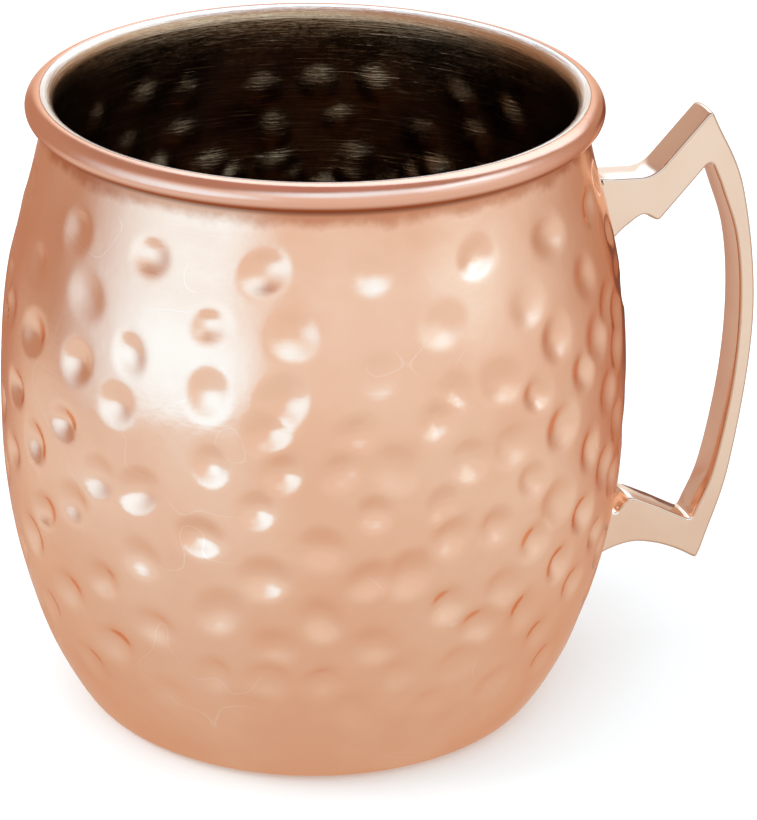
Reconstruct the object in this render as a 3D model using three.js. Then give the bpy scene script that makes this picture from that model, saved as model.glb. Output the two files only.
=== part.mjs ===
// A barrel-shaped copper mug with a stainless steel lining, a rolled rim and a flat-sided cast handle.
// Millimetres. +Z is up, the origin is on the mug's axis at the underside, and the handle points along +X.
import * as THREE from "three";

// Sheets and the clearance kept between pieces that touch.
const COPPER_SHEET = 0.6;
const STEEL_SHEET = 0.4;
const SEAM = 0.2;

// Barrel: a flat base, a tight base corner, and a wall that is widest at the belly.
const BASE_FLAT_RADIUS = 31.9;
const BASE_CORNER_RADIUS = 3.94;
const BASE_CORNER_END = -34;
const BELLY_RADIUS = 45.7;
const BELLY_HEIGHT = 44.5;
const NECK_RADIUS = 38.86;
const NECK_HEIGHT = 87.2;

// Rolled rim: the bead's section is a circle that the copper and the steel lip share.
const BEAD_RADIUS = 2;
const BEAD_CENTRE = new THREE.Vector2(39, 91);
const LIP_END = 96;
const COPPER_STEP = { inside: 84, outside: 90, below: 100 };
const CURL_END = -90;

// Handle: a plate in the XZ plane, brazed to the body at two feet.
const HANDLE_THICKNESS = 5.8;
const HANDLE_BEVEL = 0.4;
const UPPER_FOOT = { bottom: 65, top: 75.4 };
const LOWER_FOOT = { bottom: 9.9, top: 22.9 };

// Braze: a thin pad of filler under each foot, a little larger than the foot all round.
const BRAZE_THICKNESS = 0.4;
const BRAZE_MARGIN = 0.7;
const BRAZE_TAPER = 0.5;

// Resolution.
const ROUND_SEGMENTS = 48;
const WALL_STEPS = 7;
const CORNER_STEPS = 3;
const BEAD_STEP_DEGREES = 22;
const FOOT_STEPS = 3;
const BRAZE_BEND_STEPS = 4;

const COPPER_COLOUR = 0xd99b78;
const CAST_COLOUR = 0xe3b597;
const STEEL_COLOUR = 0x8f8880;
const FILLER_COLOUR = 0xcf9a7c;

const point = (x, y) => new THREE.Vector2(x, y);

// Points on a circle about a centre, from one angle to another in degrees, counted from outward.
function arc(centre, radius, from, to, steps) {
  return Array.from({ length: steps + 1 }, (_, i) => {
    const angle = THREE.MathUtils.degToRad(from + ((to - from) * i) / steps);
    return point(centre.x + radius * Math.cos(angle), centre.y + radius * Math.sin(angle));
  });
}

// The same, about the bead's centre.
function beadArc(radius, from, to) {
  const steps = Math.ceil(Math.abs(to - from) / BEAD_STEP_DEGREES);
  return arc(BEAD_CENTRE, radius, from, to, steps);
}

// Outer face of the body in (radius, height), from the middle of the underside up to the neck.
function outerWall() {
  const cornerCentre = point(BASE_FLAT_RADIUS, BASE_CORNER_RADIUS);
  const corner = arc(cornerCentre, BASE_CORNER_RADIUS, -90, BASE_CORNER_END, CORNER_STEPS);
  const lower = new THREE.CubicBezierCurve(
    corner.at(-1),
    point(35.9, 2.7),
    point(BELLY_RADIUS, 17.3),
    point(BELLY_RADIUS, BELLY_HEIGHT),
  );
  const upper = new THREE.CubicBezierCurve(
    point(BELLY_RADIUS, BELLY_HEIGHT),
    point(BELLY_RADIUS, 69.7),
    point(41.6, 74),
    point(NECK_RADIUS, NECK_HEIGHT),
  );
  return [
    point(0, 0),
    ...corner,
    ...lower.getPoints(WALL_STEPS).slice(1),
    ...upper.getPoints(WALL_STEPS).slice(1),
  ];
}

const OUTER_WALL = outerWall();

// The outer wall moved inwards by a distance, each point along the wall's normal there.
function wallInset(distance) {
  return OUTER_WALL.map((p, i) => {
    const before = OUTER_WALL[Math.max(i - 1, 0)];
    const after = OUTER_WALL[Math.min(i + 1, OUTER_WALL.length - 1)];
    const along = after.clone().sub(before).normalize();
    const inset = point(p.x - along.y * distance, p.y + along.x * distance);
    return i === 0 ? point(0, distance) : inset;
  });
}

// The body's outer radius at a height.
function bodyRadius(height) {
  const i = OUTER_WALL.findIndex((p) => p.y > height);
  const [low, high] = [OUTER_WALL[i - 1], OUTER_WALL[i]];
  return THREE.MathUtils.mapLinear(height, low.y, high.y, low.x, high.x);
}

// A closed (radius, height) outline turned about +Z.
function turned(outline) {
  return new THREE.LatheGeometry(outline, ROUND_SEGMENTS).rotateX(Math.PI / 2);
}

function metal(color, roughness) {
  return new THREE.MeshStandardMaterial({ color, roughness, metalness: 1 });
}

function part(name, geometry, material) {
  const mesh = new THREE.Mesh(geometry, material);
  mesh.name = name;
  return mesh;
}

// Body: one sheet from the base to the neck, then rolled outwards and down into a hollow bead. Where the
// steel lip lies on it, the roll is stepped down by the lip's thickness, so the two lie flush.
function copperShell() {
  const steppedRadius = BEAD_RADIUS - STEEL_SHEET - SEAM;
  const insideOfCurl = [
    ...beadArc(steppedRadius - COPPER_SHEET, 180, COPPER_STEP.below),
    ...beadArc(BEAD_RADIUS - COPPER_SHEET, COPPER_STEP.inside, CURL_END),
  ];
  const outsideOfCurl = [
    ...beadArc(BEAD_RADIUS, CURL_END, COPPER_STEP.outside),
    ...beadArc(steppedRadius, COPPER_STEP.below, 180),
  ];
  const innerWall = wallInset(COPPER_SHEET).reverse();
  const outline = [...OUTER_WALL, ...insideOfCurl, ...outsideOfCurl, ...innerWall];
  return part("copper_shell", turned(outline), metal(COPPER_COLOUR, 0.22));
}

// Lining: a steel cup inside the copper one, its lip turned out over the inner half of the bead.
function steelLiner() {
  const outerFace = wallInset(COPPER_SHEET + SEAM);
  const lip = [
    ...beadArc(BEAD_RADIUS - STEEL_SHEET, 180, LIP_END),
    ...beadArc(BEAD_RADIUS, LIP_END, 180),
  ];
  const innerFace = wallInset(COPPER_SHEET + SEAM + STEEL_SHEET).reverse();
  return part("steel_liner", turned([...outerFace, ...lip, ...innerFace]), metal(STEEL_COLOUR, 0.35));
}

// Points down a stretch of the body's wall, held off its outer face, from a top height to a bottom one.
function alongBody(top, bottom, standoff) {
  return Array.from({ length: FOOT_STEPS + 1 }, (_, i) => {
    const height = THREE.MathUtils.lerp(top, bottom, i / FOOT_STEPS);
    return point(bodyRadius(height) + standoff, height);
  });
}

// A straight edge to a corner, rounded off by a curve that starts and ends one cut away from it.
function roundedCorner(shape, corner, next, cut) {
  const before = shape.currentPoint.clone().sub(corner).setLength(cut).add(corner);
  const after = next.clone().sub(corner).setLength(cut).add(corner);
  shape.lineTo(before.x, before.y);
  shape.quadraticCurveTo(corner.x, corner.y, after.x, after.y);
}

// Outline of the handle in (X, Z): out along the thumb rest, down the back of the grip to its point, in
// along the lower foot's underside, and back round the finger opening.
function handleOutline() {
  const standoff = 2 * SEAM + BRAZE_THICKNESS;
  const upperFoot = alongBody(UPPER_FOOT.top, UPPER_FOOT.bottom, standoff);
  const lowerFoot = alongBody(LOWER_FOOT.top, LOWER_FOOT.bottom, standoff).reverse();
  const thumbTip = point(60.9, 84.6);
  const gripBack = [point(67.1, 71), point(70, 50), point(67.6, 26), point(63.4, 11.4)];
  const tail = point(62.6, 9.6);
  const underside = [point(58.8, 11.9), point(55, 13.5), point(51, 14.2), point(46.4, 13.1)];
  const footHollow = point(46.6, 20.2);
  const footHump = [point(48.4, 20.2), point(49.6, 21.6), point(51.2, 22.3), point(55.8, 20.1)];
  const innerLow = point(61.1, 17.1);
  const gripFront = [point(64.2, 25), point(66.6, 39), point(67.1, 52), point(65.8, 63.3), point(62.6, 72.4)];
  const innerHigh = point(61, 75.9);
  const fingerPoint = point(53.1, 67.3);
  const arch = [point(50.4, 68.6), point(48, 67.2)];

  const shape = new THREE.Shape();
  shape.moveTo(upperFoot[0].x, upperFoot[0].y);
  roundedCorner(shape, point(51.9, 74.9), thumbTip, 2.2);
  roundedCorner(shape, thumbTip, gripBack[0], 1.2);
  shape.splineThru(gripBack);
  roundedCorner(shape, tail, underside[0], 0.9);
  shape.splineThru([...underside, lowerFoot[0]]);
  lowerFoot.slice(1).forEach((p) => shape.lineTo(p.x, p.y));
  shape.quadraticCurveTo(footHollow.x, footHollow.y, footHump[0].x, footHump[0].y);
  shape.splineThru(footHump.slice(1));
  roundedCorner(shape, innerLow, gripFront[0], 0.7);
  shape.splineThru(gripFront);
  roundedCorner(shape, innerHigh, fingerPoint, 0.8);
  roundedCorner(shape, fingerPoint, arch[0], 0.8);
  shape.splineThru(arch);
  upperFoot.slice(1).reverse().forEach((p) => shape.lineTo(p.x, p.y));
  return shape;
}

function handle() {
  const depth = HANDLE_THICKNESS - 2 * HANDLE_BEVEL;
  const geometry = new THREE.ExtrudeGeometry(handleOutline(), {
    depth,
    curveSegments: 3,
    bevelThickness: HANDLE_BEVEL,
    bevelSize: HANDLE_BEVEL,
    bevelOffset: -HANDLE_BEVEL,
    bevelSegments: 1,
  });
  geometry.translate(0, 0, -depth / 2).rotateX(Math.PI / 2);
  return part("handle", geometry, metal(CAST_COLOUR, 0.2));
}

// Filler under one foot: a thin pad that follows the wall's height profile and bends round the body.
function braze(name, foot) {
  const top = foot.top + BRAZE_MARGIN;
  const bottom = foot.bottom - BRAZE_MARGIN;
  const nearBody = alongBody(top, bottom, SEAM);
  const nearFoot = alongBody(top - BRAZE_TAPER, bottom + BRAZE_TAPER, SEAM + BRAZE_THICKNESS).reverse();
  const depth = HANDLE_THICKNESS + 2 * BRAZE_MARGIN;
  const geometry = new THREE.ExtrudeGeometry(new THREE.Shape([...nearBody, ...nearFoot]), {
    depth,
    steps: BRAZE_BEND_STEPS,
    bevelEnabled: false,
  });
  geometry.translate(0, 0, -depth / 2).rotateX(Math.PI / 2);
  const positions = geometry.getAttribute("position");
  for (let i = 0; i < positions.count; i++) {
    const radius = positions.getX(i);
    positions.setX(i, Math.sqrt(radius ** 2 - positions.getY(i) ** 2));
  }
  geometry.computeVertexNormals();
  return part(name, geometry, metal(FILLER_COLOUR, 0.4));
}

const mug = new THREE.Group();
mug.add(
  copperShell(),
  steelLiner(),
  handle(),
  braze("upper_braze", UPPER_FOOT),
  braze("lower_braze", LOWER_FOOT),
);

export default mug;
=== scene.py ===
"""A hammered copper mug with a steel lining, on a pale floor in soft studio light.

The CAD frame gives the size and place of every piece. The pieces here stand for its nodes with the
fine surface: hammer marks, a rolled rim, a polished cast handle and its brazed joints.
Lengths are in millimetres until a mesh is made, which is in metres.
"""
import math

import bmesh
import bpy
import numpy as np
from mathutils import Matrix, Vector
from mathutils.geometry import tessellate_polygon


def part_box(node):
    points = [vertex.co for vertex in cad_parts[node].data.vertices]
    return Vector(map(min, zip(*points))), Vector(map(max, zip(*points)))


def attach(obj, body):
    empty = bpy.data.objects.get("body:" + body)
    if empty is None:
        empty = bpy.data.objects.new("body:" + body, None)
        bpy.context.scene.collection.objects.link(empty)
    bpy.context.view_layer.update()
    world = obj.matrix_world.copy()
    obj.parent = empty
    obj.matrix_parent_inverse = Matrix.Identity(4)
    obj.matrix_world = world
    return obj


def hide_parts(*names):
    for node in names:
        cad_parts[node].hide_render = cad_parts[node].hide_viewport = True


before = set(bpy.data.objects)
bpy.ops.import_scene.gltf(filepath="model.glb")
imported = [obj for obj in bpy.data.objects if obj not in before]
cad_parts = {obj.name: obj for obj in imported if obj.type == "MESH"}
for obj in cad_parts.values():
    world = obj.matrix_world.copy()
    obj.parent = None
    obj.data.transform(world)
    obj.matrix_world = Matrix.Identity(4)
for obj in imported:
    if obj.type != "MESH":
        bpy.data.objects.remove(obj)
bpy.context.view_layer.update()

MM = 0.001
_, shell_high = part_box("copper_shell")
handle_low, handle_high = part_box("handle")

# ---------------------------------------------------------------- sizes of the body

HEIGHT = shell_high.z / MM
BELLY_RADIUS = shell_high.y / MM
BELLY_HEIGHT = 44.5
BASE_FLAT_RADIUS = 31.9
BASE_CORNER_RADIUS = 3.94
BASE_CORNER_END = -34
BASE_HOLLOW = 0.25
NECK = np.array((38.86, 87.2))
BEAD_RADIUS = 2.0
BEAD_CENTRE = np.array((39.0, HEIGHT - BEAD_RADIUS))
COPPER_SHEET = 0.6
STEEL_SHEET = 0.4
SEAM = 0.2

# The lip ends just inside the bead's crest, and the copper under it is stepped down so that they lie
# flush. These are degrees round the bead, counted from outward.
LIP_END = 95
COPPER_STEP = (94, 97)
CURL_END = -90

# How finely the pieces are cut. The hidden walls follow the dents too, so they need rows enough to stay
# behind the walls that are seen.
SHELL_SEGMENTS = 400
LINER_SEGMENTS = 400
SHELL_ROWS = 124
LINER_ROWS = 112
HIDDEN_ROWS = 44
HIDDEN_STEP = 15
CORNER_STEPS = 60
WALL_STEPS = 600
FLOOR_RINGS = (2, 8, 16, 22, 24.5, 26.5, 28.5, 30)
HOLLOW_EDGE = (24, 29)

# ---------------------------------------------------------------- hammer marks

# Rows of marks up the wall: height, and where they were struck on the side that faces the camera, in
# degrees clockwise from the handle as seen from above, read from the photo. Round the back each
# row goes on at an uneven spacing.
HAMMER_ROWS = {
    80.5: (38, 57, 76, 98, 118, 141, 161),
    73: (47, 66, 85, 112, 128, 155, 173),
    67: (60, 97, 143),
    64: (34, 46, 74, 83, 114, 127, 155, 170, 184),
    60: (52, 66, 87, 101, 116, 145),
    54: (42, 59, 72, 81, 94, 104, 114, 126, 158, 176),
    48: (36, 50, 67, 86, 98, 118, 140, 149, 167, 187),
    43: (43, 60, 75, 84, 107, 128, 155, 178),
    38: (51, 66, 92, 99, 117, 140, 165, 187),
    32: (44, 58, 72, 84, 107, 125, 149, 172),
    27: (51, 66, 77, 97, 115, 138, 160, 182),
    21: (60, 80, 93, 107, 117, 127, 149, 170),
    15: (55, 70, 85, 101, 120, 137, 158, 178),
}
BACK_START = 190
BACK_SPACING = 13.5
BACK_SPREAD = (0.85, 1.45)
ROW_CLOSING = 0.7
MARK_RADIUS = (3.2, 4.1)
MARK_DEPTH = (0.75, 1.15)
MARK_STRETCH = 0.12
MARK_EDGE = (1.25, 2.1)
FOOT_CLEARANCE = 4.2
MARK_SCATTER = 1.3
FRONT_SCATTER = (0.2, 0.3)
BUMP_SHARE = 1.6
MARK_SEED = 11

# Marks are deepest below the belly, fade towards the foot and the neck, and stop short of the bead.
MARK_START = (3, 8)
MARK_FADE_LOW = (4, 30)
MARK_DEEP_LOW = (36, 52)
MARK_EASE_HIGH = (54, 74)
MARK_FADE_HIGH = (83.5, 86)
FOOT_SHARE = 0.42
FOOT_RISE = 0.68
BELLY_LOSS = 0.1
NECK_LOSS = 0.3
WAVES = 14
WAVE_LENGTHS = (9, 26)
WAVE_DEPTH = 0.012
WAVE_START = (2, 9)

# ---------------------------------------------------------------- sizes of the handle

THICKNESS = (handle_high.y - handle_low.y) / MM
EDGE_RADIUS = 0.42
EDGE_STEPS = 5
SIDE_MARGIN = 0.25
CROWN = 0.22
CROWN_STEPS = 5
CROWN_FROM = 0.1
CROWN_FULL = 2.5
LOOP_REACH = 24
SHORTEST_STRETCH = 0.02
LONGEST_STRETCH = 0.8
UPPER_FOOT = (65.0, 75.4)
LOWER_FOOT = (9.9, 22.9)
FOOT_STANDOFF = 0.8
FILLET_SPREAD = 0.65
FILLET_HEIGHT = 1.3
FILLET_RINGS = 9
FILLET_CORNER = 0.3
FILLET_TUCK = 0.02
FILLET_SINK = 0.05


def smoothstep(low, high, x):
    """0 below low, 1 above high, and a smooth rise between them."""
    t = np.clip((x - low) / (high - low), 0, 1)
    return t * t * (3 - 2 * t)


# ---------------------------------------------------------------- curves in the (radius, height) plane


def arc(centre, radius, start, end, steps):
    """Points on a circle, from one angle to another in degrees, counted from outward."""
    angle = np.radians(np.linspace(start, end, steps + 1))
    return np.asarray(centre) + radius * np.column_stack((np.cos(angle), np.sin(angle)))


def bezier(a, b, c, d, steps):
    t = np.linspace(0, 1, steps + 1)[:, None]
    a, b, c, d = (np.asarray(p, float) for p in (a, b, c, d))
    return (1 - t) ** 3 * a + 3 * (1 - t) ** 2 * t * b + 3 * (1 - t) * t**2 * c + t**3 * d


def lengths_along(points):
    steps = np.linalg.norm(np.diff(points, axis=0), axis=1)
    return np.concatenate(([0], np.cumsum(steps)))


def evenly_spaced(points, count):
    """The same line, cut into count equal steps."""
    along = lengths_along(points)
    at = np.linspace(0, along[-1], count + 1)
    return np.column_stack([np.interp(at, along, points[:, k]) for k in (0, 1)])


def outer_wall():
    """The body's outer face from the rim of the flat base up to the neck."""
    corner_centre = (BASE_FLAT_RADIUS, BASE_CORNER_RADIUS)
    corner = arc(corner_centre, BASE_CORNER_RADIUS, -90, BASE_CORNER_END, CORNER_STEPS)
    belly = (BELLY_RADIUS, BELLY_HEIGHT)
    lower = bezier(corner[-1], (35.9, 2.7), (BELLY_RADIUS, 17.3), belly, WALL_STEPS)
    upper = bezier(belly, (BELLY_RADIUS, 69.7), (41.6, 74), NECK, WALL_STEPS)
    return np.vstack((corner, lower[1:], upper[1:]))


WALL = outer_wall()
WALL_LENGTHS = lengths_along(WALL)


def wall_rows(count, inset):
    """Evenly spaced rows up the wall, moved inwards by inset: place, inward direction and height."""
    wall = evenly_spaced(WALL, count)
    along = np.gradient(wall, axis=0)
    along /= np.linalg.norm(along, axis=1)[:, None]
    inward = np.column_stack((-along[:, 1], along[:, 0]))
    return wall + inset * inward, inward, wall[:, 1]


# ---------------------------------------------------------------- the hammered surface


def struck_places():
    """(angle in radians, height) of each mark: the front as listed, the back at an uneven spacing."""
    chance = np.random.default_rng(MARK_SEED)
    places = []
    for number, (height, angles) in enumerate(HAMMER_ROWS.items()):
        places += [(angle, height) for angle in angles]
        at = max(BACK_START, angles[-1] + BACK_SPACING) + (number % 2) * BACK_SPACING / 2
        while at < angles[0] + 360 - BACK_SPACING * ROW_CLOSING:
            places.append((at, height))
            at += BACK_SPACING * chance.uniform(*BACK_SPREAD)
    places = np.array(places)
    radius = np.interp(places[:, 1], WALL[:, 1], WALL[:, 0])
    scatter = chance.uniform(-1, 1, places.shape) * MARK_SCATTER
    behind = places[:, 0] >= BACK_START
    share_round, share_up = (np.where(behind, 1, front) for front in FRONT_SCATTER)
    places[:, 1] += scatter[:, 1] * share_up
    angle = -np.radians(places[:, 0]) + scatter[:, 0] * share_round / radius
    near_plate = (abs(np.sin(angle)) * radius < THICKNESS / 2 + FOOT_CLEARANCE) & (np.cos(angle) > 0)
    under_foot = np.zeros(len(places), bool)
    for low, high in (LOWER_FOOT, UPPER_FOOT):
        beside_foot = (places[:, 1] > low - FOOT_CLEARANCE) & (places[:, 1] < high + FOOT_CLEARANCE)
        under_foot |= near_plate & beside_foot
    return np.column_stack((angle, places[:, 1]))[~under_foot]


def hammer_marks():
    """Each mark's place along the wall, size, depth, stretch and the direction it is stretched in."""
    places = struck_places()
    chance = np.random.default_rng(MARK_SEED + 1)
    count = len(places)
    return {
        "angle": places[:, 0],
        "height": places[:, 1],
        "along": np.interp(places[:, 1], WALL[:, 1], WALL_LENGTHS),
        "wall_radius": np.interp(places[:, 1], WALL[:, 1], WALL[:, 0]),
        "radius": chance.uniform(*MARK_RADIUS, count),
        "depth": chance.uniform(*MARK_DEPTH, count),
        "stretch": 1 + chance.uniform(-1, 1, count) * MARK_STRETCH,
        "turn": chance.uniform(0, math.pi, count),
        "edge": chance.uniform(*MARK_EDGE, count),
    }


MARKS = hammer_marks()


def mark_depths(angle, height):
    """How far the hammer has pushed the wall in, for a grid of rows (heights) and columns (angles)."""
    along = np.interp(height, WALL[:, 1], WALL_LENGTHS)
    total = np.zeros((len(height), len(angle)))
    for i in range(len(MARKS["angle"])):
        reach = MARKS["radius"][i] * (1 + MARK_STRETCH)
        rows = np.nonzero(abs(along - MARKS["along"][i]) < reach)[0]
        turn = (angle - MARKS["angle"][i] + math.pi) % (2 * math.pi) - math.pi
        columns = np.nonzero(abs(turn) * MARKS["wall_radius"][i] < reach)[0]
        if not len(rows) or not len(columns):
            continue
        across = turn[columns][None, :] * MARKS["wall_radius"][i]
        up = (along[rows] - MARKS["along"][i])[:, None]
        c, s = math.cos(MARKS["turn"][i]), math.sin(MARKS["turn"][i])
        u = (across * c + up * s) * MARKS["stretch"][i]
        v = (up * c - across * s) / MARKS["stretch"][i]
        bowl = np.clip(1 - (u * u + v * v) / MARKS["radius"][i] ** 2, 0, 1) ** MARKS["edge"][i]
        cell = total[np.ix_(rows, columns)]
        total[np.ix_(rows, columns)] = np.maximum(cell, bowl * MARKS["depth"][i])
    low = FOOT_SHARE + FOOT_RISE * smoothstep(*MARK_FADE_LOW, height)
    low -= BELLY_LOSS * smoothstep(*MARK_DEEP_LOW, height)
    high = 1 - NECK_LOSS * smoothstep(*MARK_EASE_HIGH, height)
    edge = smoothstep(*MARK_START, height) * (1 - smoothstep(*MARK_FADE_HIGH, height))
    return total * (low * high * edge)[:, None]


def wave_depths(points, height):
    """The slow unevenness that planishing leaves between the marks."""
    chance = np.random.default_rng(MARK_SEED + 2)
    total = np.zeros(points.shape[:2])
    for _ in range(WAVES):
        direction = chance.normal(size=3)
        direction *= 2 * math.pi / chance.uniform(*WAVE_LENGTHS) / np.linalg.norm(direction)
        total += np.sin(points @ direction + chance.uniform(0, 2 * math.pi))
    edge = smoothstep(*WAVE_START, height) * (1 - smoothstep(*MARK_FADE_HIGH, height))
    return total * WAVE_DEPTH * edge[:, None]


# ---------------------------------------------------------------- meshes


def make_mesh(name, vertices, faces, material):
    """A mesh object from vertices in millimetres."""
    mesh = bpy.data.meshes.new(name)
    mesh.from_pydata((np.asarray(vertices) * MM).tolist(), [], faces)
    mesh.materials.append(material)
    mesh.polygons.foreach_set("use_smooth", [True] * len(mesh.polygons))
    mesh.update()
    piece = bpy.data.objects.new(name, mesh)
    bpy.context.scene.collection.objects.link(piece)
    return piece


def ring_faces(rings, count, first=0):
    """Quads between neighbouring rings of count vertices each."""
    faces = []
    for ring in range(rings - 1):
        low, high = first + ring * count, first + (ring + 1) * count
        for i in range(count):
            j = (i + 1) % count
            faces.append((low + i, low + j, high + j, high + i))
    return faces


def turned(name, outline, material, segments):
    """A solid turned about the axis. outline is rows of place, inward direction, height and hammering."""
    place, inward, height, hammered = outline
    angle = np.arange(segments) * 2 * math.pi / segments
    spun = np.stack((np.cos(angle), np.sin(angle), np.ones_like(angle)), axis=-1)
    smooth_wall = place[:, [0, 0, 1]][:, None, :] * spun
    depth = (mark_depths(angle, height) + wave_depths(smooth_wall, height)) * hammered[:, None]
    points = smooth_wall + inward[:, [0, 0, 1]][:, None, :] * spun * depth[:, :, None]
    rings = points.reshape(-1, 3)
    first, last = len(rings), len(rings) + 1
    ends = [(0, 0, place[0, 1]), (0, 0, place[-1, 1])]
    faces = ring_faces(len(place), segments)
    top = (len(place) - 1) * segments
    around = [(i, (i + 1) % segments) for i in range(segments)]
    faces += [(first, j, i) for i, j in around]
    faces += [(last, top + i, top + j) for i, j in around]
    return make_mesh(name, np.vstack((rings, ends)), faces, material)


def unhammered(points):
    """Rows that the hammer doesn't reach."""
    return points, np.zeros_like(points), points[:, 1], np.zeros(len(points))


def hammered_wall(count, inset, upwards=True, share=1.0):
    place, inward, height = wall_rows(count, inset)
    rows = (place, inward, height, np.full(len(place), share))
    return rows if upwards else tuple(part[::-1] for part in rows)


def floor_rows(inset, outwards=True, hollow=0.0):
    """Rings across the base, without the axis and the wall's own first row. A hollow lifts its middle."""
    radii = np.array(FLOOR_RINGS)
    heights = inset + hollow * (1 - smoothstep(*HOLLOW_EDGE, radii))
    rows = np.column_stack((radii, heights))
    return unhammered(rows if outwards else rows[::-1])


def joined(*parts):
    return tuple(np.concatenate(column) for column in zip(*parts))


def bead_arc(radius, start, end, step=6):
    steps = max(2, round(abs(end - start) / step))
    return arc(BEAD_CENTRE, radius, start, end, steps)


def copper_shell(material):
    """One sheet: base, hammered wall, and its top edge rolled outwards and down into the bead."""
    stepped = BEAD_RADIUS - STEEL_SHEET - SEAM / 4
    before, after = COPPER_STEP
    bead = np.vstack((
        bead_arc(stepped - COPPER_SHEET, 180, after, HIDDEN_STEP),
        bead_arc(BEAD_RADIUS - COPPER_SHEET, before, CURL_END, HIDDEN_STEP),
        bead_arc(BEAD_RADIUS, CURL_END, before),
        bead_arc(stepped, after, 180, HIDDEN_STEP),
    ))
    outline = joined(
        floor_rows(0, hollow=BASE_HOLLOW),
        hammered_wall(SHELL_ROWS, 0),
        unhammered(bead),
        hammered_wall(HIDDEN_ROWS, COPPER_SHEET, upwards=False),
        floor_rows(COPPER_SHEET, outwards=False),
    )
    return turned("copper_body", outline, material, SHELL_SEGMENTS)


def steel_liner(material):
    """A steel cup inside the copper one, with its lip turned out over the inner half of the bead."""
    outside = COPPER_SHEET + SEAM
    inside = outside + STEEL_SHEET
    lip = np.vstack((
        bead_arc(BEAD_RADIUS - STEEL_SHEET, 180, LIP_END, HIDDEN_STEP),
        bead_arc(BEAD_RADIUS, LIP_END, 180),
    ))
    outline = joined(
        floor_rows(outside),
        hammered_wall(HIDDEN_ROWS, outside),
        unhammered(lip),
        hammered_wall(LINER_ROWS, inside, upwards=False, share=BUMP_SHARE),
        floor_rows(inside, outwards=False),
    )
    return turned("steel_lining", outline, material, LINER_SEGMENTS)


# ---------------------------------------------------------------- the handle


class Outline:
    """A closed line in the XZ plane, drawn point by point."""

    def __init__(self, start):
        self.points = [np.array(start, float)]

    def line(self, *targets):
        self.points += [np.array(target, float) for target in targets]

    def curve(self, control, end, steps=12):
        start, control, end = self.points[-1], np.array(control, float), np.array(end, float)
        for t in np.linspace(0, 1, steps + 1)[1:]:
            self.points.append((1 - t) ** 2 * start + 2 * t * (1 - t) * control + t * t * end)

    def rounded_corner(self, corner, following, cut):
        """A straight edge to a corner, rounded off by a curve that starts and ends one cut from it."""
        corner = np.array(corner, float)
        back = self.points[-1] - corner
        ahead = np.array(following, float) - corner
        self.line(corner + back * cut / np.linalg.norm(back))
        self.curve(corner, corner + ahead * cut / np.linalg.norm(ahead))

    def spline(self, *targets, steps=10):
        """A smooth line through the last point and these."""
        through = [self.points[-1]] + [np.array(target, float) for target in targets]
        ends = [2 * through[0] - through[1]] + through + [2 * through[-1] - through[-2]]
        for a, b, c, d in zip(ends, ends[1:], ends[2:], ends[3:]):
            for t in np.linspace(0, 1, steps + 1)[1:]:
                slope_in, slope_out = (c - a) / 2, (d - b) / 2
                self.points.append(
                    (2 * t**3 - 3 * t**2 + 1) * b + (t**3 - 2 * t**2 + t) * slope_in
                    + (3 * t**2 - 2 * t**3) * c + (t**3 - t**2) * slope_out
                )


def beside_body(top, bottom, steps=12):
    """Points down the wall from a top height to a bottom one, held off it by the foot's clearance."""
    height = np.linspace(top, bottom, steps + 1)
    return np.column_stack((np.interp(height, WALL[:, 1], WALL[:, 0]) + FOOT_STANDOFF, height))


def handle_outline():
    """Out along the thumb rest, down the grip's back to its point, in along the lower foot, and back
    round the finger opening."""
    upper = beside_body(UPPER_FOOT[1], UPPER_FOOT[0])
    lower = beside_body(*LOWER_FOOT)
    thumb_tip = (60.9, 84.6)
    pen = Outline(upper[0])
    pen.rounded_corner((51.9, 74.9), thumb_tip, 2.2)
    pen.rounded_corner(thumb_tip, (67.1, 71), 1.5)
    pen.spline((67.1, 71), (70, 50), (67.6, 26), (63.4, 11.4), steps=24)
    pen.rounded_corner((62.6, 9.6), (58.8, 11.9), 0.9)
    pen.spline((58.8, 11.9), (55, 13.5), (51, 14.2), (46.4, 13.1), lower[0])
    pen.line(*lower[1:])
    pen.curve((46.6, 20.2), (48.4, 20.2))
    pen.spline((49.6, 21.6), (51.2, 22.3), (55.8, 20.1))
    pen.rounded_corner((61.1, 17.1), (64.2, 25), 0.7)
    pen.spline((64.2, 25), (66.6, 39), (67.1, 52), (65.8, 63.3), (62.6, 72.4), steps=18)
    pen.rounded_corner((61, 75.9), (53.1, 67.3), 0.8)
    pen.rounded_corner((53.1, 67.3), (50.4, 68.6), 0.8)
    pen.spline((50.4, 68.6), (48, 67.2))
    pen.line(*upper[:0:-1])
    return np.array(pen.points)


def with_short_stretches(points):
    """The same closed line, with points added along its long straight stretches."""
    cut = []
    for start, end in zip(points, np.roll(points, -1, axis=0)):
        count = max(1, math.ceil(np.linalg.norm(end - start) / LONGEST_STRETCH))
        cut += [start + (end - start) * k / count for k in range(count)]
    return np.array(cut)


def crossing(a, b, c, d):
    """Where the stretch from a to b meets the one from c to d, or None."""
    ab, cd, ac = b - a, d - c, c - a
    cross = ab[0] * cd[1] - ab[1] * cd[0]
    if abs(cross) < 1e-12:
        return None
    t = (ac[0] * cd[1] - ac[1] * cd[0]) / cross
    u = (ac[0] * ab[1] - ac[1] * ab[0]) / cross
    return a + t * ab if 0 <= t <= 1 and 0 <= u <= 1 else None


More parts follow.
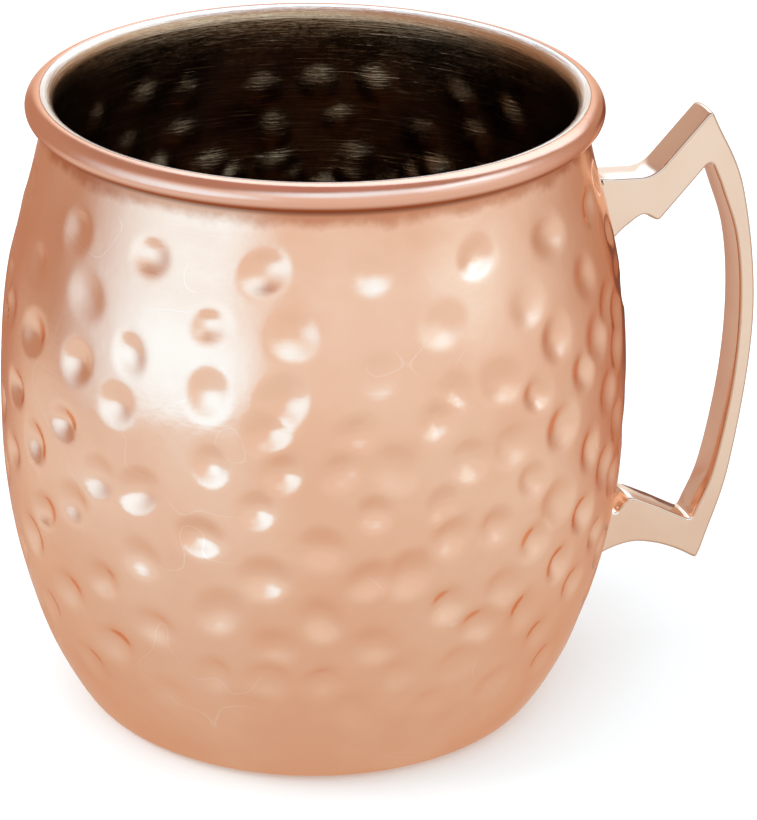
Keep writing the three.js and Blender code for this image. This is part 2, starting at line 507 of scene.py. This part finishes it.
def inset_outline(points, distance):
    """The outline moved into the material, each corner along its bisector. Where it would cross itself,
    the points between are drawn together at the crossing."""
    edge = np.roll(points, -1, axis=0) - points
    edge /= np.linalg.norm(edge, axis=1)[:, None]
    normal = np.column_stack((edge[:, 1], -edge[:, 0]))
    before = np.roll(normal, 1, axis=0)
    bisector = normal + before
    bisector /= np.maximum(1 + np.sum(normal * before, axis=1), 0.3)[:, None]
    moved = points + distance[:, None] * bisector
    for i in range(len(moved)):
        for j in range(i + 2, min(i + LOOP_REACH, len(moved) - 1)):
            meeting = crossing(moved[i], moved[i + 1], moved[j], moved[j + 1])
            if meeting is not None:
                moved[i + 1 : j + 1] = meeting
    return moved


def side_triangles(loop):
    """Triangles that fill a closed line in the plane, as triples of its own points."""
    apart = np.linalg.norm(loop - np.roll(loop, 1, axis=0), axis=1) > 1e-4
    kept = np.nonzero(apart)[0]
    flat = [Vector((x, z, 0)) for x, z in loop[kept]]
    return [tuple(int(kept[i]) for i in face) for face in tessellate_polygon([flat])]


def polished_handle(material):
    """A flat-sided casting. The band round its rim is crowned, and its edges are rounded over."""
    outline = handle_outline()
    spacing = np.linalg.norm(outline - np.roll(outline, 1, axis=0), axis=1)
    outline = with_short_stretches(outline[spacing > SHORTEST_STRETCH])
    turn = np.linspace(0, math.pi / 2, EDGE_STEPS + 1)
    half = THICKNESS / 2
    across = np.linspace(half - EDGE_RADIUS, 0, CROWN_STEPS + 1)[1:]
    insets = np.concatenate(([SIDE_MARGIN], np.zeros(EDGE_STEPS + 1), np.zeros(CROWN_STEPS)))
    insets[: EDGE_STEPS + 2] += np.concatenate(([EDGE_RADIUS], EDGE_RADIUS * (1 - np.sin(turn))))
    sides = np.concatenate(([half], half - EDGE_RADIUS * (1 - np.cos(turn)), across))
    crowns = CROWN * (np.minimum(sides, half - EDGE_RADIUS) / (half - EDGE_RADIUS)) ** 2
    insets = np.concatenate((insets, insets[-2::-1]))
    crowns = np.concatenate((crowns, crowns[-2::-1]))
    sides = np.concatenate((sides, -sides[-2::-1]))
    clear_of_body = outline[:, 0] - np.interp(outline[:, 1], WALL[:, 1], WALL[:, 0])
    crowned = smoothstep(FOOT_STANDOFF + CROWN_FROM, FOOT_STANDOFF + CROWN_FULL, clear_of_body)
    rings = []
    for inset, crown, side in zip(insets, crowns, sides):
        ring = inset_outline(outline, inset + crown * crowned)
        rings.append(np.column_stack((ring[:, 0], np.full(len(ring), side), ring[:, 1])))
    count = len(outline)
    edges = ring_faces(len(rings), count)
    far = (len(rings) - 1) * count
    left = side_triangles(rings[0][:, [0, 2]])
    right = [(far + c, far + b, far + a) for a, b, c in left]
    piece = make_mesh("cast_handle", np.vstack(rings), edges + left + right, material)
    piece.data.polygons.foreach_set("use_smooth", [True] * len(edges) + [False] * len(left + right))
    merged = bmesh.new()
    merged.from_mesh(piece.data)
    bmesh.ops.remove_doubles(merged, verts=merged.verts, dist=1e-7)
    bmesh.ops.recalc_face_normals(merged, faces=merged.faces)
    merged.to_mesh(piece.data)
    merged.free()
    return piece


def rounded_rectangle(low, high, half_width, corner, steps=8):
    """(y, z) points round a rectangle centred on y = 0, its corners rounded."""
    points = []
    for y, z, start in ((1, high, 0), (-1, high, 90), (-1, low, 180), (1, low, 270)):
        centre = (y * (half_width - corner), z - math.copysign(corner, z - low - 1e-6))
        points.append(arc(centre, corner, start, start + 90, steps))
    return np.vstack(points)


def braze_fillet(name, foot, slopes, material):
    """Filler that fills the joint under a foot and curves up its sides. slopes are how fast the foot's
    lower and upper faces rise away from the body."""
    rings = []
    for turn in np.linspace(0, math.pi / 2, FILLET_RINGS):
        margin = FILLET_SPREAD * (1 - math.sin(turn))
        height = FILLET_HEIGHT * (1 - math.cos(turn))
        past_face = max(0, height - FOOT_STANDOFF)
        low = foot[0] - margin + slopes[0] * past_face
        high = foot[1] + margin + slopes[1] * past_face
        half_width = THICKNESS / 2 + margin - FILLET_TUCK
        loop = rounded_rectangle(low, high, half_width, FILLET_CORNER + margin)
        radius = np.interp(loop[:, 1], WALL[:, 1], WALL[:, 0]) - FILLET_SINK
        out = np.sqrt(radius**2 - loop[:, 0] ** 2) + height
        rings.append(np.column_stack((out, loop)))
    count = len(rings[0])
    faces = ring_faces(len(rings), count)
    faces.append(tuple(range(count - 1, -1, -1)))
    faces.append(tuple((len(rings) - 1) * count + i for i in range(count)))
    return make_mesh(name, np.vstack(rings), faces, material)


# ---------------------------------------------------------------- materials


# In the materials, places and heights are in metres.
LATHE_FLOOR_RADIUS = 0.030
RAGGED = 0.0034
# Heights of the painted shade under the rim and in the crease below it, of the bead's redder copper, and of
# the painted light up the lining's throat and at its lip.
RIM_SHADE_FROM = (0.0860, 0.0882)
CREASE_FROM = (0.0880, 0.0887)
CREASE_TO = (0.0895, 0.0905)
BEAD_FROM = (0.0893, 0.0900)
THROAT_FROM = (0.0880, 0.0912)
LIP_FROM = (0.0922, 0.0929)


class Nodes:
    """Builds a node tree: node(kind, settings, inputs) with inputs as numbers, colours or sockets."""

    def __init__(self, tree):
        self.tree = tree
        tree.nodes.clear()

    def node(self, kind, settings=None, inputs=None):
        made = self.tree.nodes.new(kind)
        for name, value in (settings or {}).items():
            setattr(made, name, value)
        for name, value in (inputs or {}).items():
            if isinstance(value, bpy.types.NodeSocket):
                self.tree.links.new(value, made.inputs[name])
            else:
                made.inputs[name].default_value = value
        return made

    def place(self, scale=(1, 1, 1)):
        """The point's place in the mug's frame, in metres, stretched by a scale."""
        coordinates = self.node("ShaderNodeTexCoord")
        return self.node(
            "ShaderNodeMapping",
            inputs={"Vector": coordinates.outputs["Object"], "Scale": scale},
        ).outputs["Vector"]

    def lathe(self, round_scale, line_scale):
        """A place for lines that run round the mug, up the wall and on across the base as rings."""
        place = self.place()
        axes = self.node("ShaderNodeSeparateXYZ", inputs={"Vector": place}).outputs
        flat = self.node("ShaderNodeCombineXYZ", inputs={"X": axes["X"], "Y": axes["Y"]}).outputs[0]
        radius = self.node("ShaderNodeVectorMath", {"operation": "LENGTH"}, {0: flat}).outputs["Value"]
        across = self.maths("SUBTRACT", axes["Z"], self.maths("MINIMUM", radius, LATHE_FLOOR_RADIUS))
        turned = self.node(
            "ShaderNodeCombineXYZ", inputs={"X": axes["X"], "Y": axes["Y"], "Z": across}
        ).outputs[0]
        scale = (round_scale, round_scale, line_scale)
        return self.node("ShaderNodeMapping", inputs={"Vector": turned, "Scale": scale}).outputs["Vector"]

    def noise(self, vector, scale, detail=3.0, roughness=0.5, distortion=0.0):
        return self.node(
            "ShaderNodeTexNoise",
            inputs={
                "Vector": vector, "Scale": scale, "Detail": detail,
                "Roughness": roughness, "Distortion": distortion,
            },
        ).outputs["Fac"]

    def fitted(self, value, source, target, smooth=True):
        """A number carried from one range to another."""
        settings = {"interpolation_type": "SMOOTHSTEP" if smooth else "LINEAR"}
        made = self.node(
            "ShaderNodeMapRange",
            settings,
            {
                "Value": value, "From Min": source[0], "From Max": source[1],
                "To Min": target[0], "To Max": target[1],
            },
        )
        return made.outputs["Result"]

    def maths(self, operation, a, b):
        return self.node("ShaderNodeMath", {"operation": operation}, {0: a, 1: b}).outputs[0]

    def mixed(self, share, a, b, blend="MIX"):
        made = self.node("ShaderNodeMix", {"data_type": "RGBA", "blend_type": blend})
        for index, value in ((0, share), (6, a), (7, b)):
            if isinstance(value, bpy.types.NodeSocket):
                self.tree.links.new(value, made.inputs[index])
            else:
                made.inputs[index].default_value = value
        return made.outputs[2]

    def bump(self, height, strength, distance, normal=None):
        inputs = {"Height": height, "Strength": strength, "Distance": distance}
        if normal is not None:
            inputs["Normal"] = normal
        return self.node("ShaderNodeBump", inputs=inputs).outputs["Normal"]


def rgb(red, green, blue):
    return (red, green, blue, 1)


def finished(nodes, **inputs):
    """Ends a material's tree in a metal surface."""
    named = {name.replace("_", " "): value for name, value in inputs.items()}
    shader = nodes.node("ShaderNodeBsdfPrincipled", inputs={"Metallic": 1.0, **named})
    nodes.node("ShaderNodeOutputMaterial", inputs={"Surface": shader.outputs[0]})


def new_material(name):
    material = bpy.data.materials.new(name)
    material.use_nodes = True
    return material, Nodes(material.node_tree)


COPPER = rgb(0.92, 0.55, 0.37)
COPPER_PALE = rgb(0.95, 0.61, 0.43)
COPPER_SCRATCH = rgb(0.99, 0.80, 0.68)
COPPER_RED = rgb(0.87, 0.485, 0.34)
# Painted shade: a band under the rim, then a line in the crease below the bead.
COPPER_RIM_SHADE = rgb(0.60, 0.23, 0.115)
COPPER_CREASE_SHADE = rgb(0.22, 0.07, 0.035)
COPPER_EDGE = rgb(0.97, 0.76, 0.63)
CASTING = rgb(0.99, 0.79, 0.63)
CASTING_DEEP = rgb(0.92, 0.63, 0.47)
# Painted shade on the handle's rounded edges.
CASTING_EDGE_SHADE = rgb(0.55, 0.32, 0.20)
# The lining's colours are painted dark for the shade down in the cup; the throat and lip colours are
# painted light near the rim.
STEEL = rgb(0.33, 0.20, 0.11)
STEEL_DARK = rgb(0.07, 0.04, 0.02)
STEEL_SCRATCH = rgb(0.92, 0.63, 0.40)
THROAT_STEEL = rgb(0.60, 0.38, 0.22)
LIP_STEEL = rgb(0.80, 0.68, 0.57)
LIP_SCRATCH = rgb(0.94, 0.83, 0.72)


def hammered_copper():
    """Copper: warm patches, painted shade under the rim and in the crease below the bead, soft planishing
    texture and fine polishing lines.
    """
    material, nodes = new_material("hammered_copper")
    place = nodes.place()
    patches = nodes.fitted(nodes.noise(place, 55, 4, 0.55), (0.35, 0.65), (0, 1))
    colour = nodes.mixed(patches, COPPER, COPPER_PALE)
    curls = nodes.maths("ABSOLUTE", nodes.maths("SUBTRACT", nodes.noise(place, 75, 1), 0.5), 0.0)
    seldom = nodes.fitted(nodes.noise(place, 48, 2), (0.52, 0.62), (0, 0.4))
    scratch = nodes.maths("MULTIPLY", nodes.fitted(curls, (0.0, 0.004), (1, 0)), seldom)
    colour = nodes.mixed(scratch, colour, COPPER_SCRATCH)
    height = nodes.node("ShaderNodeSeparateXYZ", inputs={"Vector": place}).outputs["Z"]
    # Painted shade in a band under the rim, its lower edge ragged.
    ragged = nodes.maths("MULTIPLY_ADD", nodes.noise(place, 260, 4, 0.55), RAGGED)
    ragged.node.inputs[2].default_value = -RAGGED / 2
    level = nodes.maths("ADD", height, ragged)
    colour = nodes.mixed(nodes.fitted(level, RIM_SHADE_FROM, (0, 0.85)), colour, COPPER_RIM_SHADE)
    colour = nodes.mixed(nodes.fitted(height, BEAD_FROM, (0, 1)), colour, COPPER_RED)
    # Painted shade in the crease below the bead.
    crease_shade = nodes.maths(
        "MULTIPLY", nodes.fitted(height, CREASE_FROM, (0, 0.85)),
        nodes.fitted(height, CREASE_TO, (1, 0)),
    )
    colour = nodes.mixed(crease_shade, colour, COPPER_CREASE_SHADE)
    hazy = nodes.fitted(nodes.noise(place, 140, 3), (0.3, 0.7), (0.15, 0.22))
    peel = nodes.noise(place, 420, 3, 0.5)
    normal = nodes.bump(peel, 0.16, 0.0002)
    lines = nodes.noise(nodes.lathe(30, 2600), 1, 2, 0.6)
    normal = nodes.bump(lines, 0.05, 0.0001, normal)
    finished(nodes, Base_Color=colour, Roughness=hazy, Normal=normal, Specular_Tint=COPPER_EDGE)
    return material


def brushed_steel():
    """The lining: stainless steel brushed round the inside, painted dark in the cup for the shade there,
    and lighter up the throat and bright at the lip as painted light.
    """
    material, nodes = new_material("brushed_steel")
    place = nodes.place()
    streaks = nodes.noise(nodes.lathe(110, 4200), 1, 4, 0.7)
    fine = nodes.noise(nodes.lathe(40, 9000), 1, 3, 0.7)
    stains = nodes.fitted(nodes.noise(place, 70, 4, 0.6), (0.35, 0.7), (0, 1))
    colour = nodes.mixed(stains, STEEL, STEEL_DARK)
    scratched = nodes.fitted(streaks, (0.55, 0.72), (0, 1))
    colour = nodes.mixed(scratched, colour, STEEL_SCRATCH)
    height = nodes.node("ShaderNodeSeparateXYZ", inputs={"Vector": place}).outputs["Z"]
    # Painted light: lighter up the throat and bright at the lip, over the painted shade of the cup below.
    colour = nodes.mixed(nodes.fitted(height, THROAT_FROM, (0, 1)), colour, THROAT_STEEL)
    lip_highlight = nodes.mixed(nodes.fitted(fine, (0.3, 0.7), (0, 1)), LIP_STEEL, LIP_SCRATCH)
    colour = nodes.mixed(nodes.fitted(height, LIP_FROM, (0, 1)), colour, lip_highlight)
    rough = nodes.fitted(fine, (0.3, 0.7), (0.14, 0.25))
    normal = nodes.bump(streaks, 0.45, 0.0003)
    normal = nodes.bump(fine, 0.2, 0.0001, normal)
    tangent = nodes.node("ShaderNodeTangent", {"direction_type": "RADIAL", "axis": "Z"})
    finished(
        nodes, Base_Color=colour, Roughness=rough, Normal=normal, Tangent=tangent.outputs[0],
        Anisotropic=0.6, Anisotropic_Rotation=0.25,
    )
    return material


def cast_metal():
    """The handle: a pale copper-plated casting, polished, with faint lines and painted shade darkening its
    rounded edges.
    """
    material, nodes = new_material("cast_copper")
    place = nodes.place()
    patches = nodes.fitted(nodes.noise(place, 90, 4, 0.55), (0.3, 0.7), (0, 1))
    colour = nodes.mixed(nodes.maths("MULTIPLY", patches, 0.35), CASTING, CASTING_DEEP)
    # Painted shade darkens the rounded edges.
    edge_shade = nodes.node("ShaderNodeNewGeometry").outputs["Pointiness"]
    colour = nodes.mixed(nodes.fitted(edge_shade, (0.511, 0.523), (0, 0.6)), colour, CASTING_EDGE_SHADE)
    rough = nodes.fitted(nodes.noise(place, 260, 4), (0.3, 0.7), (0.07, 0.15))
    peel = nodes.noise(place, 330, 2, 0.4)
    normal = nodes.bump(peel, 0.06, 0.0002)
    lines = nodes.noise(nodes.place((300, 6000, 300)), 1, 2, 0.6)
    normal = nodes.bump(lines, 0.02, 0.0001, normal)
    finished(nodes, Base_Color=colour, Roughness=rough, Normal=normal)
    return material


def braze_metal():
    """Filler at the joints: a little duller and rougher than the handle."""
    material, nodes = new_material("braze_filler")
    place = nodes.place()
    mottle = nodes.noise(place, 900, 4, 0.6)
    colour = nodes.mixed(nodes.fitted(mottle, (0.3, 0.7), (0, 1)), CASTING_DEEP, CASTING)
    rough = nodes.fitted(mottle, (0.3, 0.7), (0.16, 0.3))
    normal = nodes.bump(mottle, 0.2, 0.0002)
    finished(nodes, Base_Color=colour, Roughness=rough, Normal=normal)
    return material


# ---------------------------------------------------------------- the mug


copper = hammered_copper()
shell = copper_shell(copper)
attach(shell, "root")
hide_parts("copper_shell")

liner = steel_liner(brushed_steel())
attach(liner, "root")
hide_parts("steel_liner")

grip = polished_handle(cast_metal())
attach(grip, "root")
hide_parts("handle")

filler = braze_metal()
for braze_name, braze_foot, braze_slopes in (
    ("upper_braze_fillet", UPPER_FOOT, (0.7, 0.0)),
    ("lower_braze_fillet", LOWER_FOOT, (0.5, -1.1)),
):
    fillet = braze_fillet(braze_name, braze_foot, braze_slopes, filler)
    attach(fillet, "root")
    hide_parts(braze_name.replace("_fillet", ""))


# ---------------------------------------------------------------- floor, light and camera

FLOOR_SIZE = 6.0
PAPER = rgb(0.868, 0.873, 0.866)
PAPER_LIFT = 0.13

# What the metal sees low down all round: paper in front of the mug and at its left, darker surroundings
# behind it, the backdrop straight behind, and a dark band at the back's right, painted in for a flag. In
# the metal the paper is a painted glow, warmer and dimmer close to the mug: painted shadow of the mug, and
# the warm light the mug throws on it.
FRONT_LIGHT = rgb(0.87, 0.87, 0.88)
BEHIND_LIGHT = rgb(0.56, 0.41, 0.34)
BACKDROP_LIGHT = rgb(0.96, 0.95, 0.95)
FLAG_LIGHT = rgb(0.22, 0.10, 0.07)
HIGH_LIGHT = rgb(0.50, 0.36, 0.31)
OVERHEAD_LIGHT = rgb(0.56, 0.36, 0.34)
NEAR_LIGHT = rgb(0.70, 0.59, 0.52)
MIDDLE_LIGHT = rgb(0.82, 0.81, 0.80)
MIDDLE_BEHIND = rgb(0.54, 0.33, 0.26)
LEFT_GLOW = rgb(0.84, 0.88, 0.92)
PAPER_LIGHT = rgb(1.23, 1.36, 1.44)
BEHIND_FROM = (-0.60, 0.40)
LEFT_FROM = (0.35, 0.90)
BACKDROP_FROM = (0.90, 0.985)
BACKDROP_HEADING = (0.32, 0.947, 0)
FLAG_FROM = (0.972, 0.999)
FLAG_HEADING = (0.777, 0.629, 0)
HIGH_FROM = (0.38, 0.75)
OVERHEAD_FROM = (0.90, 0.97)
FLOOR_REACHES = (0.036, 0.130, 0.400)
LAMP_PLACE = (-0.55, 0.05, 0.42)
LAMP_SIZE = 0.35
LAMP_WATTS = 1.4
COOL = rgb(0.50, 0.77, 1.05)
PALE_COOL = rgb(0.76, 0.90, 1.0)
BACK_COOL = rgb(0.62, 0.80, 1.0)


def heading_of(nodes, vector):
    """A direction's heading: the direction with its height taken out."""
    level = nodes.node(
        "ShaderNodeVectorMath", {"operation": "MULTIPLY"}, {0: vector, 1: (1, 1, 0)}
    ).outputs["Vector"]
    return nodes.node("ShaderNodeVectorMath", {"operation": "NORMALIZE"}, {0: level}).outputs["Vector"]


def front_and_back(nodes, heading, front, behind):
    """The front's light, passing into the back's."""
    y = nodes.node("ShaderNodeSeparateXYZ", inputs={"Vector": heading}).outputs["Y"]
    return nodes.mixed(nodes.fitted(y, BEHIND_FROM, (0, 1)), front, behind)


def with_light_at(nodes, heading, colour, middle, start, light):
    """The colour, with another light in a band of headings round a middle one."""
    straight = nodes.node(
        "ShaderNodeVectorMath", {"operation": "DOT_PRODUCT"}, {0: heading, 1: middle}
    ).outputs["Value"]
    return nodes.mixed(nodes.fitted(straight, start, (0, 1)), colour, light)


def pale_floor():
    """A sweep of white paper. In the metal it is a painted glow, not lit: warmer and dimmer close to the
    mug, with a painted shadow there, and it runs into the light all round far away, with no line between
    them."""
    half = FLOOR_SIZE / 2 / MM
    corners = [(-half, -half, 0), (half, -half, 0), (half, half, 0), (-half, half, 0)]
    material, nodes = new_material("paper")
    place = nodes.place()
    distance = nodes.node("ShaderNodeVectorMath", {"operation": "LENGTH"}, {0: place}).outputs["Value"]
    heading = heading_of(nodes, place)
    near, middle, far = FLOOR_REACHES
    around = front_and_back(nodes, heading, MIDDLE_LIGHT, MIDDLE_BEHIND)
    around = with_light_at(nodes, heading, around, (-1, 0, 0), LEFT_FROM, LEFT_GLOW)
    glow = nodes.mixed(nodes.fitted(distance, (near, middle), (0, 1), False), NEAR_LIGHT, around)
    far_off = front_and_back(nodes, heading, FRONT_LIGHT, BEHIND_LIGHT)
    far_off = with_light_at(nodes, heading, far_off, BACKDROP_HEADING, BACKDROP_FROM, BACKDROP_LIGHT)
    glow = nodes.mixed(nodes.fitted(distance, (middle, far), (0, 1)), glow, far_off)
    flagged = with_light_at(nodes, heading, glow, FLAG_HEADING, FLAG_FROM, FLAG_LIGHT)
    glow = nodes.mixed(nodes.fitted(distance, (near, middle), (0, 1)), glow, flagged)
    # The paper in the metal: a painted glow, with painted shadow near the mug and a painted dark band for a
    # flag.
    in_metal = nodes.node("ShaderNodeEmission", inputs={"Color": glow})
    paper = nodes.node("ShaderNodeBsdfDiffuse", inputs={"Color": PAPER})
    lift = nodes.node("ShaderNodeEmission", inputs={"Strength": PAPER_LIFT})
    seen = nodes.node("ShaderNodeAddShader", inputs={0: paper.outputs[0], 1: lift.outputs[0]})
    direct = nodes.node("ShaderNodeLightPath").outputs["Is Camera Ray"]
    either = nodes.node(
        "ShaderNodeMixShader", inputs={0: direct, 1: in_metal.outputs[0], 2: seen.outputs[0]}
    )
    nodes.node("ShaderNodeOutputMaterial", inputs={"Surface": either.outputs[0]})
    floor = make_mesh("floor", corners, [(0, 1, 2, 3)], material)


def softbox(name, place, aim, width, height, strength, feather=0.25, colour=rgb(1, 1, 1)):
    """A glowing panel, bright in the middle and fading over its edges. Only the metal sees it."""
    corners = [(-0.5, -0.5, 0), (0.5, -0.5, 0), (0.5, 0.5, 0), (-0.5, 0.5, 0)]
    material, nodes = new_material(name)
    generated = nodes.node("ShaderNodeTexCoord").outputs["Generated"]
    across = nodes.node("ShaderNodeSeparateXYZ", inputs={"Vector": generated})
    shown = 1.0
    for axis in ("X", "Y"):
        for start, end in ((0, feather), (1, 1 - feather)):
            edge = nodes.fitted(across.outputs[axis], (start, end), (0, 1))
            shown = nodes.maths("MULTIPLY", edge, shown)
    glow = nodes.node("ShaderNodeEmission", inputs={"Color": colour, "Strength": strength})
    clear = nodes.node("ShaderNodeBsdfTransparent")
    shader = nodes.node(
        "ShaderNodeMixShader", inputs={0: shown, 1: clear.outputs[0], 2: glow.outputs[0]}
    )
    nodes.node("ShaderNodeOutputMaterial", inputs={"Surface": shader.outputs[0]})
    panel = make_mesh(name, np.array(corners) / MM, [(0, 1, 2, 3)], material)
    panel.location = place
    panel.rotation_euler = (Vector(aim) - Vector(place)).to_track_quat("Z", "Y").to_euler()
    panel.scale = (width, height, 1)
    panel.visible_camera = False
    panel.visible_shadow = False
    panel.visible_diffuse = False


def side_lamp():
    """A soft lamp at the left that only the paper sees, for the shadow at the right."""
    lamp = bpy.data.objects.new("side_lamp", bpy.data.lights.new("side_lamp", "AREA"))
    lamp.data.energy = LAMP_WATTS
    lamp.data.shape = "SQUARE"
    lamp.data.size = LAMP_SIZE
    lamp.location = LAMP_PLACE
    lamp.rotation_euler = (-Vector(LAMP_PLACE)).to_track_quat("-Z", "Y").to_euler()
    lamp.visible_glossy = False
    bpy.context.scene.collection.objects.link(lamp)


def studio():
    """Soft light all round, and panels at the left, high behind, twice in front and twice at the right.
    The metal, the paper and the camera are each given their own light."""
    world = bpy.data.worlds.new("studio")
    bpy.context.scene.world = world
    world.use_nodes = True
    nodes = Nodes(world.node_tree)
    direction = nodes.node("ShaderNodeTexCoord").outputs["Generated"]
    up = nodes.node("ShaderNodeSeparateXYZ", inputs={"Vector": direction}).outputs["Z"]
    heading = heading_of(nodes, direction)
    colour = front_and_back(nodes, heading, FRONT_LIGHT, BEHIND_LIGHT)
    colour = with_light_at(nodes, heading, colour, BACKDROP_HEADING, BACKDROP_FROM, BACKDROP_LIGHT)
    colour = nodes.mixed(nodes.fitted(up, HIGH_FROM, (0, 1)), colour, HIGH_LIGHT)
    colour = nodes.mixed(nodes.fitted(up, OVERHEAD_FROM, (0, 1)), colour, OVERHEAD_LIGHT)
    path = nodes.node("ShaderNodeLightPath").outputs
    colour = nodes.mixed(path["Is Diffuse Ray"], colour, PAPER_LIGHT)
    colour = nodes.mixed(path["Is Camera Ray"], colour, rgb(1, 1, 1))
    light = nodes.node("ShaderNodeBackground", inputs={"Color": colour})
    nodes.node("ShaderNodeOutputWorld", inputs={"Surface": light.outputs[0]})
    middle = (0, 0, 0.05)
    softbox("left_panel", (-0.25, -0.14, 0.065), (0, -0.14, 0.05), 0.60, 0.34, 2.1, 0.45, COOL)
    softbox("back_panel", (0.42, 0.50, 0.80), middle, 1.5, 1.1, 2.4, 0.25, BACK_COOL)
    softbox("front_panel", (-0.06, -0.76, 0.66), middle, 1.75, 0.95, 2.1, 0.45, COOL)
    softbox("front_glow", (-0.45, -1.36, 0.76), middle, 2.6, 1.1, 1.3, 0.5, PALE_COOL)
    softbox("right_panel", (0.42, -0.50, 0.19), middle, 0.48, 0.54, 1.3, 0.5, PALE_COOL)
    softbox("high_right_panel", (0.62, -0.60, 0.50), middle, 1.2, 0.85, 2.7, 0.45, COOL)
    side_lamp()


# The camera stands in front of the mug, to the left and above, and is rolled a little. Its place is in
# millimetres.
CAMERA_REACH = 440.07
CAMERA_HEIGHT = 242.93
CAMERA_SIDE = math.radians(18.63)
CAMERA_HEADING = math.radians(19.88)
CAMERA_DIP = math.radians(24.4415)
CAMERA_ROLL = math.radians(0.93546)
CAMERA_LENS = 143.85


def photo_camera():
    camera = bpy.data.objects.new("camera", bpy.data.cameras.new("camera"))
    bpy.context.scene.collection.objects.link(camera)
    heading, dip, roll = CAMERA_HEADING, CAMERA_DIP, CAMERA_ROLL
    ahead = Vector((
        math.sin(heading) * math.cos(dip), math.cos(heading) * math.cos(dip), -math.sin(dip),
    ))
    level = Vector((math.cos(heading), -math.sin(heading), 0))
    upright = level.cross(ahead)
    across = level * math.cos(roll) + upright * math.sin(roll)
    upward = upright * math.cos(roll) - level * math.sin(roll)
    turned_by = Matrix((across, upward, -ahead)).transposed().to_4x4()
    place = Vector((
        -CAMERA_REACH * math.sin(CAMERA_SIDE), -CAMERA_REACH * math.cos(CAMERA_SIDE), CAMERA_HEIGHT,
    ))
    camera.matrix_world = Matrix.Translation(place * MM) @ turned_by
    camera.data.lens = CAMERA_LENS
    camera.data.clip_start = 0.01
    bpy.context.scene.camera = camera


pale_floor()
studio()
photo_camera()
bpy.context.scene.view_settings.view_transform = "Standard"
